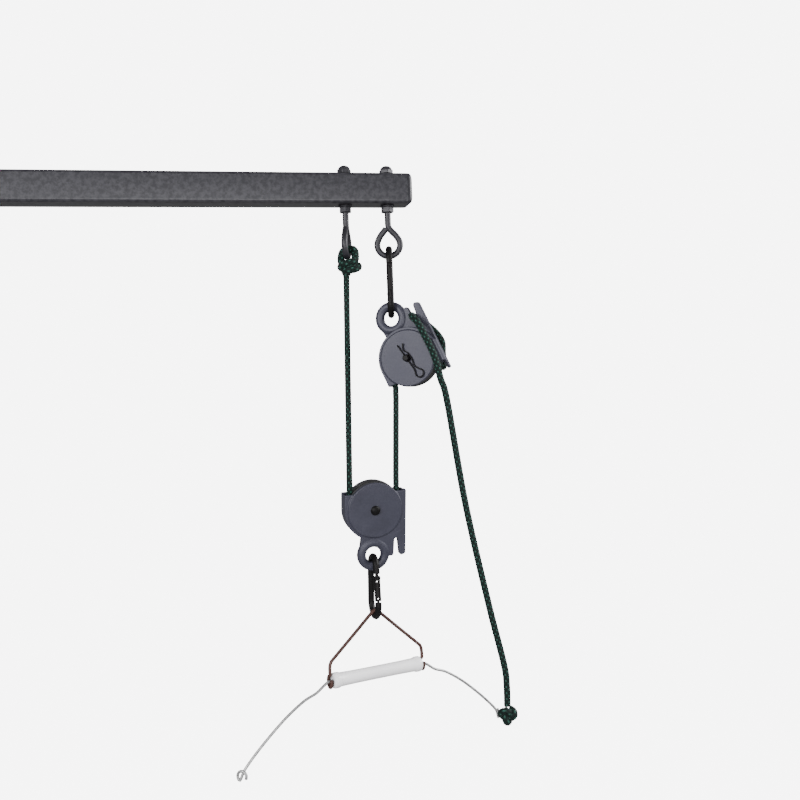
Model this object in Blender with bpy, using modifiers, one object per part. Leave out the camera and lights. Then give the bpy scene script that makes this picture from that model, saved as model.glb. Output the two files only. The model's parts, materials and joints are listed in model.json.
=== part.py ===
"""Overhead hoist arm: a square-tube arm under a ceiling bracket, carrying a two-block rope hoist."""
import math

import bmesh
import bpy
from mathutils import Matrix, Vector

COLLECTION = "ceiling_pulley_rack"

# Clearances
GAP = 0.0003            # between pieces that touch
HOLE_GAP = 0.0004       # round a pin or bolt in its hole

# Ceiling bracket, origin on top of the plate under the post's axis
PLATE_LENGTH = 0.150
PLATE_WIDTH = 0.100
PLATE_THICK = 0.006
PLATE_HOLE = 0.0085
PLATE_HOLE_INSET = 0.018
DROP = 0.146            # post length, plate to arm
GUSSET_LEG = 0.052
GUSSET_THICK = 0.005

# Arm, a square tube
TUBE = 0.0381
TUBE_WALL = 0.0021
TUBE_CORNER = 0.0040
REACH = 0.600           # post axis to the open end
STUB = 0.031            # arm behind the post axis
CAP_LIP = 0.0065        # how far an end cap stands out
CAP_PLUG = 0.014        # how deep it sits in the tube

# Eye bolts
BOLT_INSET = 0.0234     # outer bolt to the arm's end
BOLT_SPACING = 0.0539
WIRE = 0.0079
EYE_RADIUS = 0.0144     # centre of the wire
EYE_DROP = 0.0498       # arm's underside to the eye's centre
EYE_YAW = (71.0, -12.0)  # inner, outer
NUT_FLATS = 0.0143
DOME_FLATS = 0.0158
NUT_HEIGHT = 0.0070
DOME_HEIGHT = 0.0102
WASHER_RADIUS = 0.0088
WASHER_THICK = 0.0014

# Spring snap links
LINK_WIRE = 0.0086
UPPER_LINK_LENGTH = 0.0920
LOWER_LINK_LENGTH = 0.0840
LINK_WIDE = 0.0170      # centreline radius at the nose end
LINK_NARROW = 0.0130    # centreline radius at the pivot end
LINK_LIMB = 0.0082      # straight limb before the gate
GATE_PIVOT = 0.0135
GATE_START = 0.0108
GATE_SHORT = 0.0034     # from the nose tangent back to the gate's tip
TONGUE_THICK = 0.0030
TONGUE_WIDTH = 0.0066
RIVET_RADIUS = 0.0015
SPRING_RADIUS = 0.0016
SPRING_WIRE = 0.0003
SPRING_LENGTH = 0.011
UPPER_LINK_YAW = -101.6
LOWER_LINK_YAW = 95.4

# Pulley blocks
SHEAVE_PITCH = 0.03035  # radius at the rope's centre
SHEAVE_RADIUS = 0.0358
SHEAVE_WIDTH = 0.0132
GROOVE_GAP = 0.0007
CHAMBER_WIDTH = 0.0150
CHAMBER_CLEAR = 0.0012
CHAMBER_FLARE = 0.0380  # the left wall opens out to here at its lip
BLOCK_DEPTH = 0.0244
CUP_RADIUS = 0.0390
PLATE_RADIUS = 0.0352
FACE_RISE = 0.0018      # round faces standing proud of the cup
LIP_HEIGHT = 0.0207
WEB_HEIGHT = 0.0228
BAR_EDGE = 0.0408
EYE_SIDE = -0.0012      # block eye, sideways from the sheave
EYE_FALL = 0.0580       # block eye, along from the sheave
EYE_HOLE = 0.0098
EYE_OUTER = 0.0210
EYE_THICK = 0.0115
FLANGE_THICK = 0.0075
NUB_INNER = 0.0180
NOTCH_INNER = 0.0250
NOTCH_OUTER = 0.0325
NOTCH_DEPTH = 0.0380
JAW_END = 0.0610
UPPER_BAR_TAIL = 0.0330
LOWER_BAR_TAIL = 0.0245
PIN_RADIUS = 0.0040
PIN_HEAD = 0.0062
PIN_TAIL = 0.0066       # pin beyond the block's back
BUSH_RADIUS = 0.0060
CLIP_WIRE = 0.0017
CLIP_LEG = 0.0200
CLIP_RUN = 0.0250
CLIP_LOOP = 0.0052
CLIP_TURN = 10.0

UPPER_BLOCK_YAW = -31.6
UPPER_BLOCK_TILT = -25.0
LOWER_BLOCK_YAW = 5.4
LOWER_BLOCK_LEAN = 9.0
LOWER_SHEAVE = (REACH - 0.0562, 0.0000, -0.5720)

# Rope
ROPE = 0.0080
ROPE_SLACK = 0.0088  # the tail, which carries no load, swells a little
ROPE_SQUEEZED = 0.0048  # where it is jammed in the jaw
KNOT = (0.0150, 0.0165, 0.0178)
KNOT_SHIFT = 0.0035
END_KNOT = (0.0105, 0.0105, 0.0120)

# Past the sheave the rope turns under the jaw's bar, climbs its far side and drops into the jaw.
# Points in the block's own frame.
JAW_LOOP = [(0.0304, 0.0, 0.0110), (0.0304, 0.0, 0.0212), (0.0304, -0.0030, 0.0262),
            (0.0306, -0.0088, 0.0284), (0.0312, -0.0145, 0.0262), (0.0328, -0.0176, 0.0200),
            (0.0372, -0.0176, 0.0100), (0.0422, -0.0176, -0.0020), (0.0408, -0.0176, -0.0150),
            (0.0355, -0.0176, -0.0290), (0.0312, -0.0174, -0.0385), (0.0288, -0.0140, -0.0440),
            (0.0284, -0.0085, -0.0452), (0.0284, -0.0030, -0.0452)]
LIP_ROUTE = [(-0.0341, 0.0, 0.0235), (-0.0334, 0.0, 0.0180), (-0.0319, 0.0, 0.0120), (-0.0308, 0.0, 0.0060)]
TAIL_START = [(0.0283, -0.0027, -0.0452), (0.0284, 0.0050, -0.0452), (0.0297, 0.0128, -0.0432),
              (0.0325, 0.0182, -0.0370), (0.0350, 0.0200, -0.0280)]
# The free tail hangs outwards in front of the blocks.
TAIL_ROUTE = [(REACH + 0.0164, -0.0555, -0.3822), (REACH + 0.0243, -0.0550, -0.4126),
              (REACH + 0.0324, -0.0520, -0.4415), (REACH + 0.0523, -0.0470, -0.5697),
              (REACH + 0.0779, -0.0450, -0.6958), (REACH + 0.0946, -0.0450, -0.7708),
              (REACH + 0.0972, -0.0450, -0.7985), (REACH + 0.0970, -0.0450, -0.8235)]

# Hanger, grip and bail
HANGER_WIRE = 0.0044
HANGER_HALF = 0.0672
HANGER_YAW = 20.0
GRIP_DROP = 0.0778      # hanger's top bend to the grip's axis
FOOT_HEIGHT = 0.0076    # centreline half sizes of the narrow eye at each foot
FOOT_WIDTH = 0.0045
GRIP_RADIUS = 0.0083
GRIP_FLARE = 0.0098
GRIP_BORE = 0.0026
BAIL_WIRE = 0.0035
BAIL_STRAIGHT = 0.0655

ARM_TOP = -PLATE_THICK - DROP
ARM_BOTTOM = ARM_TOP - TUBE
ARM_MIDDLE = ARM_TOP - TUBE / 2
BOLT_X = (REACH - BOLT_INSET - BOLT_SPACING, REACH - BOLT_INSET)
EYE_Z = ARM_BOTTOM - EYE_DROP

for old in list(bpy.data.objects):
    bpy.data.objects.remove(old, do_unlink=True)

parts = bpy.data.collections.new(COLLECTION)
cutters = bpy.data.collections.new("cutters")
bpy.context.scene.collection.children.link(parts)
bpy.context.scene.collection.children.link(cutters)


# ---- materials ----

def finish(name, colour, roughness, metallic):
    made = bpy.data.materials.new(name)
    made.use_nodes = True
    shader = made.node_tree.nodes["Principled BSDF"]
    shader.inputs["Base Color"].default_value = (*colour, 1.0)
    shader.inputs["Roughness"].default_value = roughness
    shader.inputs["Metallic"].default_value = metallic
    return made


PAINT = finish("gunmetal_paint", (0.105, 0.100, 0.118), 0.42, 0.55)
CAST = finish("painted_casting", (0.130, 0.128, 0.152), 0.48, 0.50)
STEEL_DARK = finish("oiled_dark_steel", (0.022, 0.020, 0.021), 0.40, 0.80)
NYLON = finish("black_nylon", (0.010, 0.010, 0.011), 0.50, 0.0)
BRONZE = finish("bronze", (0.36, 0.23, 0.10), 0.38, 1.0)
ROPE_BRAID = finish("green_braid", (0.008, 0.040, 0.032), 0.80, 0.0)
BROWN_WIRE = finish("brown_coated_wire", (0.075, 0.032, 0.026), 0.45, 0.20)
WHITE_PLASTIC = finish("white_plastic", (0.78, 0.76, 0.77), 0.38, 0.0)
GALVANISED = finish("galvanised_wire", (0.42, 0.42, 0.42), 0.45, 0.90)


# ---- making ----

def store(name, mesh, material):
    made = bpy.data.objects.new(name, mesh)
    parts.objects.link(made)
    mesh.materials.clear()
    mesh.materials.append(material)
    return made


def plain_mesh(source, name):
    """Turns a curve or screwed profile into one closed mesh, welded, with its faces outwards."""
    graph = bpy.context.evaluated_depsgraph_get()
    mesh = bpy.data.meshes.new_from_object(source.evaluated_get(graph))
    bpy.data.objects.remove(source, do_unlink=True)
    work = bmesh.new()
    work.from_mesh(mesh)
    bmesh.ops.remove_doubles(work, verts=work.verts, dist=1e-6)
    bmesh.ops.recalc_face_normals(work, faces=work.faces)
    work.to_mesh(mesh)
    work.free()
    mesh.name = name
    mesh.shade_smooth()
    mesh.set_sharp_from_angle(angle=math.radians(32))
    return mesh


def curve_data(name, kind, paths, closed):
    curve = bpy.data.curves.new(name, "CURVE")
    curve.dimensions = kind
    for path in paths:
        spline = curve.splines.new("POLY")
        spline.points.add(len(path) - 1)
        for place, point in zip(spline.points, path):
            place.co = (*point, 0.0, 1.0) if len(point) == 2 else (*point, 1.0)
        spline.use_cyclic_u = closed
    return curve


def sheet_metal(name, loops, depth, material, lay="Z", bevel=0.0):
    """A flat outline, with holes, given its thickness. It lies in XY, XZ (lay Y) or YZ (lay X)."""
    curve = curve_data(name, "2D", loops, True)
    curve.fill_mode = "BOTH"
    curve.extrude = depth / 2
    holder = bpy.data.objects.new(name, curve)
    parts.objects.link(holder)
    mesh = plain_mesh(holder, name)
    if lay == "Y":
        mesh.transform(Matrix.Rotation(math.radians(90), 4, "X"))
    if lay == "X":
        mesh.transform(Matrix(((0, 0, 1, 0), (1, 0, 0, 0), (0, 1, 0, 0), (0, 0, 0, 1))))
    made = store(name, mesh, material)
    if bevel:
        soften(made, bevel)
    return made


def soften(thing, width, segments=1):
    edge = thing.modifiers.new("soft_edges", "BEVEL")
    edge.width = width
    edge.segments = segments
    edge.limit_method = "ANGLE"
    edge.angle_limit = math.radians(40)


def wire(name, path, diameter, material, resolution=3, pinched=None):
    """A round wire or rope along a path of points. The pinched span (first, last) is squeezed thinner."""
    curve = curve_data(name, "3D", [path], False)
    curve.bevel_depth = diameter / 2
    curve.bevel_resolution = resolution
    curve.use_fill_caps = True
    if pinched:
        for place_on in curve.splines[0].points[pinched[0]:pinched[1]]:
            place_on.radius = ROPE_SQUEEZED / ROPE
    holder = bpy.data.objects.new(name, curve)
    parts.objects.link(holder)
    return store(name, plain_mesh(holder, name), material)


def turned(name, profile, material, steps=40, lay="Z"):
    """A closed profile of (radius, height) points turned round Z, or laid so its axis is Y or X."""
    mesh = bpy.data.meshes.new(name)
    count = len(profile)
    verts = [(radius, 0.0, height) for radius, height in profile]
    mesh.from_pydata(verts, [(i, (i + 1) % count) for i in range(count)], [])
    holder = bpy.data.objects.new(name, mesh)
    parts.objects.link(holder)
    screw = holder.modifiers.new("turn", "SCREW")
    screw.steps = steps
    screw.render_steps = steps
    screw.use_merge_vertices = True
    screw.merge_threshold = 1e-6
    body = plain_mesh(holder, name)
    if lay == "Y":
        body.transform(Matrix.Rotation(math.radians(90), 4, "X"))
    if lay == "X":
        body.transform(Matrix.Rotation(math.radians(90), 4, "Y"))
    return store(name, body, material)


def block(name, size, centre, material, bevel=0.0):
    mesh = bpy.data.meshes.new(name)
    work = bmesh.new()
    bmesh.ops.create_cube(work, size=1.0)
    bmesh.ops.scale(work, vec=size, verts=work.verts)
    bmesh.ops.translate(work, vec=centre, verts=work.verts)
    work.to_mesh(mesh)
    work.free()
    made = store(name, mesh, material)
    if bevel:
        soften(made, bevel)
    return made


def rod(name, radius, start, end, material, sides=16):
    """A plain cylinder between two points."""
    start, end = Vector(start), Vector(end)
    mesh = bpy.data.meshes.new(name)
    work = bmesh.new()
    bmesh.ops.create_cone(work, cap_ends=True, segments=sides, radius1=radius, radius2=radius,
                          depth=(end - start).length)
    turn = (end - start).to_track_quat("Z", "Y").to_matrix().to_4x4()
    bmesh.ops.transform(work, matrix=Matrix.Translation((start + end) / 2) @ turn, verts=work.verts)
    work.to_mesh(mesh)
    work.free()
    mesh.shade_smooth()
    mesh.set_sharp_from_angle(angle=math.radians(32))
    return store(name, mesh, material)


def shape_with(target, tool, operation="DIFFERENCE", solver="EXACT"):
    """Cuts or joins with a tool, which goes to the cutters and moves with its target."""
    parts.objects.unlink(tool)
    cutters.objects.link(tool)
    tool.hide_render = True
    tool.display_type = "WIRE"
    tool.parent = target
    change = target.modifiers.new(tool.name, "BOOLEAN")
    change.operation = operation
    change.solver = solver
    change.object = tool


def pivot(name, matrix, parent=None):
    """An empty on a joint's axis."""
    made = bpy.data.objects.new(name, None)
    made.empty_display_size = 0.02
    parts.objects.link(made)
    made["world"] = [value for row in matrix for value in row]
    return place(made, matrix, parent)


def place(thing, matrix, parent=None):
    if parent is not None:
        held = list(parent["world"])
        above = Matrix([held[row * 4:row * 4 + 4] for row in range(4)])
        thing.parent = parent
        thing.matrix_basis = above.inverted() @ matrix
    else:
        thing.matrix_basis = matrix
    return thing


# ---- geometry ----

def arc(centre, radius, start, end, count):
    """Points on an arc, angles in degrees, ends included."""
    points = []
    for step in range(count + 1):
        angle = math.radians(start + (end - start) * step / count)
        points.append((centre[0] + radius * math.cos(angle), centre[1] + radius * math.sin(angle)))
    return points


def rounded_square(side, corner):
    reach = side / 2 - corner
    points = []
    for turn, (sx, sy) in enumerate(((1, 1), (-1, 1), (-1, -1), (1, -1))):
        points += arc((sx * reach, sy * reach), corner, 90 * turn, 90 * turn + 90, 4)
    return points


def hexagon(flats):
    return arc((0, 0), flats / math.sqrt(3), 0, 300, 5)


def smooth_route(points, spacing):
    """Points read from one smooth curve that passes through the route's own points."""
    route = [Vector(point) for point in points]
    route = [route[0] * 2 - route[1]] + route + [route[-1] * 2 - route[-2]]
    read = []
    for index in range(1, len(route) - 2):
        before, here, there, after = route[index - 1:index + 3]
        count = max(1, round((there - here).length / spacing))
        for step in range(count):
            t = step / count
            read.append(0.5 * (2 * here + (there - before) * t
                               + (2 * before - 5 * here + 4 * there - after) * t ** 2
                               + (3 * here - before - 3 * there + after) * t ** 3))
    read.append(route[-2])
    return [tuple(point) for point in read]


def turn_z(degrees):
    return Matrix.Rotation(math.radians(degrees), 4, "Z")


def turn_y(degrees):
    return Matrix.Rotation(math.radians(degrees), 4, "Y")


def turn_x(degrees):
    return Matrix.Rotation(math.radians(degrees), 4, "X")


def at(x, y, z):
    return Matrix.Translation((x, y, z))


# ---- ceiling bracket and arm ----

def ceiling_bracket():
    plate = block("ceiling_plate", (PLATE_LENGTH, PLATE_WIDTH, PLATE_THICK),
                  (0, 0, -PLATE_THICK / 2), PAINT, 0.0015)
    for number, (sx, sy) in enumerate(((1, 1), (1, -1), (-1, 1), (-1, -1))):
        spot = (sx * (PLATE_LENGTH / 2 - PLATE_HOLE_INSET), sy * (PLATE_WIDTH / 2 - PLATE_HOLE_INSET))
        hole = rod("plate_hole_%d" % number, PLATE_HOLE / 2, (*spot, -2 * PLATE_THICK),
                   (*spot, PLATE_THICK), PAINT)
        shape_with(plate, hole)
    loops = [rounded_square(TUBE, TUBE_CORNER),
             rounded_square(TUBE - 2 * TUBE_WALL, TUBE_CORNER - TUBE_WALL)]
    post = sheet_metal("drop_post", loops, DROP - 2 * GAP, PAINT)
    place(post, at(0, 0, -PLATE_THICK - DROP / 2))
    corner = (TUBE / 2 + GAP, ARM_TOP + GAP)
    outline = [corner, (corner[0] + GUSSET_LEG, corner[1])]
    outline += [(corner[0] + 0.010, corner[1] + GUSSET_LEG), (corner[0], corner[1] + GUSSET_LEG)]
    outline.insert(2, (corner[0] + GUSSET_LEG, corner[1] + 0.010))
    sheet_metal("bracket_gusset", [outline], GUSSET_THICK, PAINT, "Y", 0.0006)


def end_cap(name, side):
    """A moulded plug: a domed head over the tube's end and a stem inside it."""
    cap = block(name, (CAP_LIP - GAP, TUBE - 0.0004, TUBE - 0.0004), ((CAP_LIP + GAP) / 2, 0, 0), PAINT)
    soften(cap, 0.0048, 3)
    inner = TUBE - 2 * TUBE_WALL - 2 * GAP
    stem = block(name + "_stem", (CAP_PLUG, inner, inner), (-CAP_PLUG / 2 + 0.0012, 0, 0), PAINT, 0.0022)
    shape_with(cap, stem, "UNION")
    turn = 0 if side > 0 else 180
    spot = REACH if side > 0 else -STUB
    return place(cap, at(spot, 0, ARM_MIDDLE) @ turn_z(turn))


def arm():
    loops = [rounded_square(TUBE, TUBE_CORNER),
             rounded_square(TUBE - 2 * TUBE_WALL, TUBE_CORNER - TUBE_WALL)]
    tube = sheet_metal("arm_tube", loops, REACH + STUB, PAINT, "X")
    middle = (REACH - STUB) / 2
    place(tube, at(middle, 0, ARM_MIDDLE))
    for number, x in enumerate(BOLT_X):
        hole = rod("bolt_hole_%d" % number, WIRE / 2 + HOLE_GAP, (x - middle, 0, -TUBE),
                   (x - middle, 0, TUBE), PAINT)
        shape_with(tube, hole)
    end_cap("arm_end_cap", 1)
    end_cap("arm_back_cap", -1)


# ---- eye bolts ----

def eye_bolt(number):
    label = ("inner", "outer")[number]
    x = BOLT_X[number]
    top = ARM_TOP + WASHER_THICK + DOME_HEIGHT - 0.0036
    neck = [(0, 0, 0.0330), (0, 0, 0.0270), (0.0006, 0, 0.0222), (0.0036, 0, 0.0178), (0.0080, 0, 0.0132)]
    ring = [(px, 0, pz) for px, pz in arc((0, 0), EYE_RADIUS, 38, -212, 11)]
    tuck = [(-0.0094, 0, 0.0120), (-0.0041, 0, 0.0178)]
    path = [(0, 0, top - EYE_Z)] + smooth_route(neck + ring + tuck, 0.0050)
    place(wire("eye_bolt_" + label, path, WIRE, PAINT, 2), at(x, 0, EYE_Z) @ turn_z(EYE_YAW[number]))

    bore = WIRE / 2 + HOLE_GAP
    ring = [(bore, WASHER_THICK), (WASHER_RADIUS, WASHER_THICK), (WASHER_RADIUS, 0), (bore, 0)]
    place(turned("top_washer_" + label, ring, PAINT, 24), at(x, 0, ARM_TOP + GAP))
    place(turned("bottom_washer_" + label, ring, PAINT, 24),
          at(x, 0, ARM_BOTTOM - GAP - WASHER_THICK))

    nut = sheet_metal("hex_nut_" + label, [hexagon(NUT_FLATS), arc((0, 0), bore, 0, 337.5, 15)],
                      NUT_HEIGHT, PAINT, "Z", 0.0005)
    place(nut, at(x, 0, ARM_BOTTOM - WASHER_THICK - 2 * GAP - NUT_HEIGHT / 2) @ turn_z(20 + 14 * number))

    base = 0.0048
    dome = sheet_metal("dome_nut_" + label, [hexagon(DOME_FLATS)], base, PAINT, "Z", 0.0004)
    shell = [(0.0, DOME_HEIGHT - base / 2)]
    rise = DOME_HEIGHT - base
    for step in range(1, 7):
        lean = math.radians(15 * step)
        shell.append((0.0076 * math.sin(lean), rise * math.cos(lean) + base / 2))
    shell += [(0.0076, 0.0), (0.0, 0.0)]
    shape_with(dome, turned("dome_%d" % number, shell, PAINT, 18), "UNION")
    shape_with(dome, rod("dome_bore_%d" % number, bore, (0, 0, -base),
                         (0, 0, DOME_HEIGHT - base / 2 - 0.0026), PAINT))
    place(dome, at(x, 0, ARM_TOP + WASHER_THICK + 2 * GAP + base / 2) @ turn_z(8 + 25 * number))


# ---- spring snap links ----

def snap_link(label, length, matrix, parent=None):
    """A bent body with a hinged gate on its +X side. Its nose end is up; its length runs along Z."""
    half = (length - LINK_WIRE) / 2
    wide = (0.0, half - LINK_WIDE)
    narrow = (0.0, LINK_NARROW - half)
    slant = math.degrees(math.asin((LINK_WIDE - LINK_NARROW) / (wide[1] - narrow[1])))
    along = Vector((math.sin(math.radians(slant)), 0, math.cos(math.radians(slant))))
    foot = arc(narrow, LINK_NARROW, -slant, 0, 1)[0]
    foot = Vector((foot[0], 0, foot[1]))
    tip = arc(wide, LINK_WIDE, -slant, 0, 1)[0]
    tip = Vector((tip[0], 0, tip[1]))
    run = (tip - foot).length
    frame = Matrix.Translation(foot) @ turn_y(slant)

    path = [tuple(tip - along * 0.0014)]
    path += [(x, 0, z) for x, z in arc(wide, LINK_WIDE, -slant, 180 + slant, 16)]
    path += [(x, 0, z) for x, z in arc(narrow, LINK_NARROW, 180 + slant, 360 - slant, 14)]
    path.append(tuple(foot + along * LINK_LIMB))
    body = wire(label + "_link_body", path, LINK_WIRE, STEEL_DARK, 2)
    hinge = block(label + "_hinge_tongue", (TONGUE_WIDTH, TONGUE_THICK, 0.0140),
                  (0, 0, GATE_PIVOT - 0.0036), STEEL_DARK)
    latch = block(label + "_latch_tongue", (0.0050, 0.0024, 0.0070), (0, 0, run - 0.0020), STEEL_DARK)
    for tool in (hinge, latch):
        tool.data.transform(frame)
        shape_with(body, tool, "UNION")
    hole = rod(label + "_tongue_hole", RIVET_RADIUS + HOLE_GAP, (0, -0.01, GATE_PIVOT),
               (0, 0.01, GATE_PIVOT), STEEL_DARK, 16)
    hole.data.transform(frame)
    shape_with(body, hole)
    place(body, matrix, parent)

    at_pivot = matrix @ frame @ at(0, 0, GATE_PIVOT)
    hinge_empty = pivot(label + "_gate_axis", at_pivot, parent)
    low = GATE_START - GATE_PIVOT
    high = run - GATE_SHORT - GATE_PIVOT
    gate = rod(label + "_link_gate", LINK_WIRE / 2 - 0.0002, (0, 0, low), (0, 0, high), STEEL_DARK, 16)
    slots = (((0.02, TONGUE_THICK + 2 * GAP, 0.0200), (0, 0, low - 0.0023)),
             ((0.02, 0.0024 + 2 * GAP, 0.0100), (0, 0, high + 0.0010)))
    for number, (size, centre) in enumerate(slots):
        shape_with(gate, block("%s_gate_slot_%d" % (label, number), size, centre, STEEL_DARK))
    spring_start = low + 0.0080
    tools = (("bore", SPRING_RADIUS + 0.0007, (0, 0, spring_start - 0.001),
              (0, 0, spring_start + SPRING_LENGTH + 0.001)),
             ("rivet_hole", RIVET_RADIUS + HOLE_GAP, (0, -0.01, 0), (0, 0.01, 0)))
    for kind, radius, start, end in tools:
        shape_with(gate, rod("%s_gate_%s" % (label, kind), radius, start, end, STEEL_DARK, 16))
    place(gate, at_pivot, hinge_empty)

    coil = []
    turns = 5
    steps = turns * 8
    for step in range(steps + 1):
        angle = math.radians(45 * step)
        height = spring_start + SPRING_WIRE + (SPRING_LENGTH - 2 * SPRING_WIRE) * step / steps
        coil.append((SPRING_RADIUS * math.cos(angle), SPRING_RADIUS * math.sin(angle), height))
    place(wire(label + "_gate_spring", coil, 2 * SPRING_WIRE, GALVANISED, 0), at_pivot, hinge_empty)
    side = LINK_WIRE / 2 + 0.0001
    rivet = rod(label + "_gate_rivet", RIVET_RADIUS, (0, -side, 0), (0, side, 0), STEEL_DARK, 16)
    place(rivet, at_pivot, parent)


# ---- pulley blocks ----
# A block's own frame has the sheave's axis on Y, its eye towards -Z, its jaw on +X and its front at -Y.

def casting_outline(bar_tail):
    """The front flange: sheave cover, neck, nub, rope jaw and bar, in one silhouette."""
    eye = (EYE_SIDE, -EYE_FALL)
    tuck = EYE_OUTER - 0.0015
    outline = arc((0, 0), PLATE_RADIUS - 0.0004, 142, 42, 10)
    outline += [(BAR_EDGE - 0.0052, WEB_HEIGHT), (BAR_EDGE - 0.0050, bar_tail - 0.0012)]
    outline += [(BAR_EDGE - 0.0038, bar_tail), (BAR_EDGE - 0.0008, bar_tail)]
    outline += [(BAR_EDGE, bar_tail - 0.0010), (BAR_EDGE, -JAW_END + 0.0030)]
    outline += [(BAR_EDGE - 0.0015, -JAW_END + 0.0014), (NOTCH_OUTER + 0.0022, -JAW_END)]
    outline += [(NOTCH_OUTER, -JAW_END + 0.0022)]
    outline += arc((NOTCH_OUTER - 0.0044, -NOTCH_DEPTH - 0.0022), 0.0022, 20, 170, 5)
    outline += [(NOTCH_INNER, -JAW_END + 0.0018), (NOTCH_INNER - 0.0018, -JAW_END)]
    outline += [(NUB_INNER, -JAW_END)]
    outline += arc(eye, tuck, -40, -200, 8)
    outline += [(EYE_SIDE - tuck + 0.0022, -EYE_FALL + 0.0130), (EYE_SIDE - tuck + 0.0036, -0.0335)]
    outline += arc((0, 0), CUP_RADIUS - 0.0006, 238, 186, 8)
    outline += [(-CUP_RADIUS + 0.0006, LIP_HEIGHT)]
    return outline


def cup_outline():
    outline = arc((0, 0), PLATE_RADIUS - 0.0004, 142, 42, 10)
    outline += [(BAR_EDGE - 0.0006, WEB_HEIGHT), (BAR_EDGE - 0.0006, -0.0060)]
    outline += arc((0, 0), CUP_RADIUS, -12, -176, 20)
    outline += [(-CUP_RADIUS, LIP_HEIGHT)]
    return outline


def block_assembly(label, bar_tail, matrix, parent=None):
    front = -BLOCK_DEPTH / 2
    body = sheet_metal(label + "_block_body", [cup_outline()], BLOCK_DEPTH - 2 * FACE_RISE, CAST, "Y", 0.0014)
    faces = sheet_metal(label + "_faces", [arc((0, 0), PLATE_RADIUS, 0, 350, 35)], BLOCK_DEPTH, CAST, "Y",
                        0.0012)
    shape_with(body, faces, "UNION", "MANIFOLD")
    ring_hole = arc((EYE_SIDE, -EYE_FALL), (EYE_HOLE + EYE_OUTER) / 2, 0, 337.5, 15)
    flange = sheet_metal(label + "_flange", [casting_outline(bar_tail), ring_hole], FLANGE_THICK,
                         CAST, "Y", 0.0012)
    flange.data.transform(at(0, front + FACE_RISE + FLANGE_THICK / 2, 0))
    shape_with(body, flange, "UNION", "MANIFOLD")

    middle = (EYE_HOLE + EYE_OUTER) / 2
    reach = (EYE_OUTER - EYE_HOLE) / 2
    section = []
    for corner, (sx, sy) in enumerate(((1, 1), (-1, 1), (-1, -1), (1, -1))):
        spot = (middle + sx * (reach - 0.0042), sy * (EYE_THICK / 2 - 0.0042))
        section += arc(spot, 0.0042, 90 * corner, 90 * corner + 90, 2)
    eye = turned(label + "_eye", section, CAST, 24, "Y")
    eye.data.transform(at(EYE_SIDE, front + EYE_THICK / 2, -EYE_FALL))
    shape_with(body, eye, "UNION", "MANIFOLD")

    room = SHEAVE_RADIUS + CHAMBER_CLEAR
    chamber = [(room, 0.05), (-CHAMBER_FLARE, 0.05), (-CHAMBER_FLARE, LIP_HEIGHT), (-room, 0.0040)]
    chamber += arc((0, 0), room, 180, 360, 28)
    hollow = sheet_metal(label + "_chamber", [chamber], CHAMBER_WIDTH, CAST, "Y")
    shape_with(body, hollow)
    shape_with(body, rod(label + "_pin_hole", PIN_RADIUS + HOLE_GAP, (0, front - 0.01, 0),
                         (0, -front + 0.01, 0), CAST))
    place(body, matrix, parent)

    axis = pivot(label + "_sheave_axis", matrix, parent)
    groove = ROPE / 2 + GROOVE_GAP
    half = SHEAVE_WIDTH / 2
    profile = [(BUSH_RADIUS + GAP, half), (SHEAVE_RADIUS - 0.0006, half), (SHEAVE_RADIUS, half - 0.0007)]
    profile += arc((SHEAVE_PITCH, 0), groove, 62, 298, 7)
    profile += [(SHEAVE_RADIUS, 0.0007 - half), (SHEAVE_RADIUS - 0.0006, -half)]
    profile += [(BUSH_RADIUS + GAP, -half)]
    place(turned(label + "_sheave", profile, NYLON, 28, "Y"), matrix, axis)

    sleeve = CHAMBER_WIDTH / 2 - GAP
    bore = PIN_RADIUS + GAP
    tube = [(bore, sleeve), (BUSH_RADIUS, sleeve), (BUSH_RADIUS, -sleeve), (bore, -sleeve)]
    place(turned(label + "_sheave_bush", tube, BRONZE, 20, "Y"), matrix, parent)

    tail = -front + PIN_TAIL
    head = front - GAP
    shaft = [(0.0, head - 0.0034)]
    shaft += [(0.0030, head - 0.0031), (0.0050, head - 0.0021), (PIN_HEAD, head - 0.0006), (PIN_HEAD, head)]
    shaft += [(PIN_RADIUS, head), (PIN_RADIUS, tail - 0.0008), (PIN_RADIUS - 0.0008, tail), (0.0, tail)]
    pin = turned(label + "_clevis_pin", [(radius, -depth) for radius, depth in shaft], STEEL_DARK, 24, "Y")
    clip_depth = -front + GAP + CLIP_WIRE / 2 + 0.0012
    turn = turn_y(CLIP_TURN)
    cross = rod(label + "_clip_hole", CLIP_WIRE / 2 + HOLE_GAP, (0, 0, -0.01), (0, 0, 0.01), STEEL_DARK, 12)
    cross.data.transform(at(0, clip_depth, 0) @ turn)
    shape_with(pin, cross)
    place(pin, matrix, parent)

    beside = PIN_RADIUS + GAP + CLIP_WIRE / 2 + 0.0002
    path = [(0, 0, -CLIP_LEG), (0, 0, 0), (0, 0, CLIP_RUN - 0.009), (-0.0010, 0, CLIP_RUN - 0.0045)]
    path += [(x, 0, z) for x, z in arc((beside / 2, CLIP_RUN), CLIP_LOOP, 190, -10, 8)]
    path += [(beside - 0.0005, 0, CLIP_RUN - 0.0055), (beside * 0.55, 0, CLIP_RUN - 0.0100)]
    path += [(beside * 0.62, 0, 0.0105), (beside * 0.95, 0, 0.0050), (beside, 0, 0.0)]
    path += [(beside * 0.93, 0, -0.0050), (beside * 0.55, 0, -0.0095), (beside * 0.75, 0, -0.0135)]
    path += [(beside * 1.35, 0, -0.0175)]
    clip = wire(label + "_hairpin_clip", smooth_route(path, 0.0040), CLIP_WIRE, STEEL_DARK, 1)
    place(clip, matrix @ at(0, clip_depth, 0) @ turn, parent)


# ---- places of the hanging pieces ----

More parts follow.
